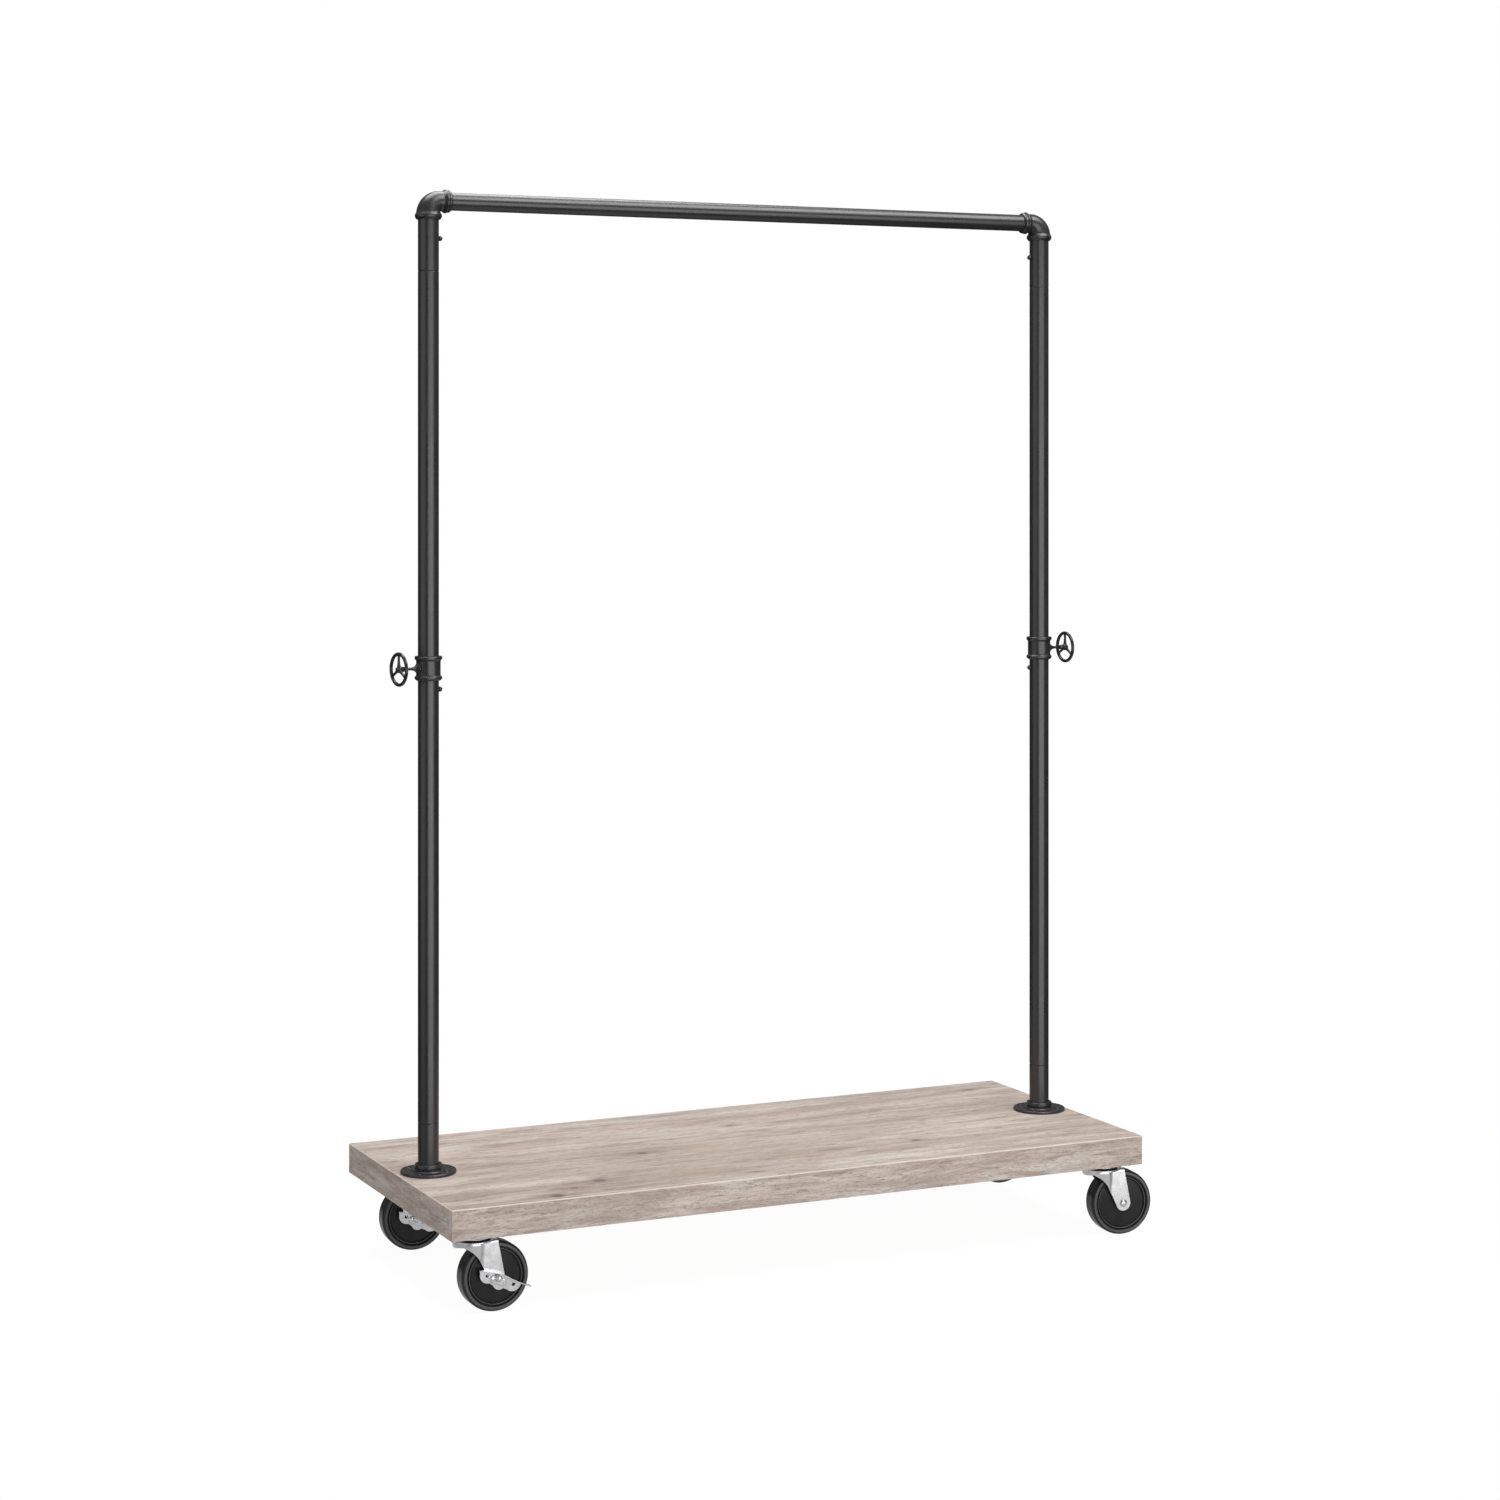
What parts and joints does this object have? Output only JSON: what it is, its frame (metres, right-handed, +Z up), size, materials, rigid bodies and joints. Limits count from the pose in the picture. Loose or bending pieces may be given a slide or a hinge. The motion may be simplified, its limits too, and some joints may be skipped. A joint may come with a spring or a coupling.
{
  "type": "garment rail",
  "caption": "Rolling garment rail: pipe posts with side handwheels carry a straight hanging rail above a thick wood-look shelf on swivel casters.",
  "frame": {"origin": "on the floor, under the middle of the bounding box", "axes": "+X along the hanging rail to the right, +Y from the front edge of the shelf to the back, +Z up"},
  "size_m": [1.192, 0.477, 1.6309],
  "materials": {
    "wood_laminate": "matt wood-look laminate with a weathered grain",
    "dark_paint": "satin charcoal powder coat",
    "black_fastener": "semi-gloss black",
    "bright_zinc": "bright zinc plate",
    "wheel_black": "glossy black hard wheel"
  },
  "bodies": {
    "rack": {"shelf_board": "wood_laminate", "edge_band_front": "wood_laminate", "edge_band_back": "wood_laminate", "edge_band_left": "wood_laminate", "edge_band_right": "wood_laminate", "floor_flange_left": "dark_paint", "flange_stub_left": "dark_paint", "lower_tube_left": "dark_paint", "upper_tube_left": "dark_paint", "top_sleeve_left": "dark_paint", "coupling_left": "dark_paint", "valve_stem_left": "dark_paint", "elbow_left": "dark_paint", "coupling_bolt_left": "black_fastener", "sleeve_bolt_left": "black_fastener", "flange_screw_left_1": "black_fastener", "flange_screw_left_2": "black_fastener", "flange_screw_left_3": "black_fastener", "flange_screw_left_4": "black_fastener", "floor_flange_right": "dark_paint", "flange_stub_right": "dark_paint", "lower_tube_right": "dark_paint", "upper_tube_right": "dark_paint", "top_sleeve_right": "dark_paint", "coupling_right": "dark_paint", "valve_stem_right": "dark_paint", "elbow_right": "dark_paint", "coupling_bolt_right": "black_fastener", "sleeve_bolt_right": "black_fastener", "flange_screw_right_1": "black_fastener", "flange_screw_right_2": "black_fastener", "flange_screw_right_3": "black_fastener", "flange_screw_right_4": "black_fastener", "hanging_rail": "dark_paint", "caster_plate_front_left": "bright_zinc", "kingpin_front_left": "bright_zinc", "caster_plate_front_right": "bright_zinc", "kingpin_front_right": "bright_zinc", "caster_plate_back_left": "bright_zinc", "kingpin_back_left": "bright_zinc", "caster_plate_back_right": "bright_zinc", "kingpin_back_right": "bright_zinc"},
    "valve_wheel_left": {"handwheel_left": "dark_paint"},
    "valve_wheel_right": {"handwheel_right": "dark_paint"},
    "swivel_front_left": {"fork_front_left": "bright_zinc", "axle_front_left": "bright_zinc", "brake_nut_front_left": "bright_zinc"},
    "roller_front_left": {"wheel_front_left": "wheel_black"},
    "pedal_front_left": {"brake_lever_front_left": "bright_zinc"},
    "swivel_front_right": {"fork_front_right": "bright_zinc", "axle_front_right": "bright_zinc"},
    "roller_front_right": {"wheel_front_right": "wheel_black"},
    "swivel_back_left": {"fork_back_left": "bright_zinc", "axle_back_left": "bright_zinc", "brake_nut_back_left": "bright_zinc"},
    "roller_back_left": {"wheel_back_left": "wheel_black"},
    "pedal_back_left": {"brake_lever_back_left": "bright_zinc"},
    "swivel_back_right": {"fork_back_right": "bright_zinc", "axle_back_right": "bright_zinc"},
    "roller_back_right": {"wheel_back_right": "wheel_black"}
  },
  "joints": [
    {"name": "handwheel_turn_left", "type": "hinge", "parent": "rack", "child": "valve_wheel_left", "pos_m": [-0.58897, -0.00964, 0.91405], "axis": [-0.9816, -0.1908, 0], "continuous": true},
    {"name": "handwheel_turn_right", "type": "hinge", "parent": "rack", "child": "valve_wheel_right", "pos_m": [0.56587, 0.00176, 0.91745], "axis": [0.9994, 0.0349, 0], "continuous": true},
    {"name": "caster_swivel_front_left", "type": "hinge", "parent": "rack", "child": "swivel_front_left", "pos_m": [-0.539, -0.194, 0.1045], "axis": [0, 0, 1], "continuous": true},
    {"name": "wheel_roll_front_left", "type": "hinge", "parent": "swivel_front_left", "child": "roller_front_left", "pos_m": [-0.5095, -0.194, 0.051], "axis": [0, 1, 0], "continuous": true},
    {"name": "brake_tilt_front_left", "type": "hinge", "parent": "swivel_front_left", "child": "pedal_front_left", "pos_m": [-0.5095, -0.194, 0.051], "axis": [0, 1, 0], "range_deg": [-18, 0]},
    {"name": "caster_swivel_front_right", "type": "hinge", "parent": "rack", "child": "swivel_front_right", "pos_m": [0.515, -0.194, 0.1045], "axis": [0, 0, 1], "continuous": true},
    {"name": "wheel_roll_front_right", "type": "hinge", "parent": "swivel_front_right", "child": "roller_front_right", "pos_m": [0.54428, -0.19759, 0.051], "axis": [0.1219, 0.9925, 0], "continuous": true},
    {"name": "caster_swivel_back_left", "type": "hinge", "parent": "rack", "child": "swivel_back_left", "pos_m": [-0.5315, 0.185, 0.1045], "axis": [0, 0, 1], "continuous": true},
    {"name": "wheel_roll_back_left", "type": "hinge", "parent": "swivel_back_left", "child": "roller_back_left", "pos_m": [-0.50204, 0.18346, 0.051], "axis": [0.0523, 0.9986, 0], "continuous": true},
    {"name": "brake_tilt_back_left", "type": "hinge", "parent": "swivel_back_left", "child": "pedal_back_left", "pos_m": [-0.50204, 0.18346, 0.051], "axis": [0.0523, 0.9986, 0], "range_deg": [-18, 0]},
    {"name": "caster_swivel_back_right", "type": "hinge", "parent": "rack", "child": "swivel_back_right", "pos_m": [0.515, 0.185, 0.1045], "axis": [0, 0, 1], "continuous": true},
    {"name": "wheel_roll_back_right", "type": "hinge", "parent": "swivel_back_right", "child": "roller_back_right", "pos_m": [0.5445, 0.185, 0.051], "axis": [0, 1, 0], "continuous": true}
  ]
}
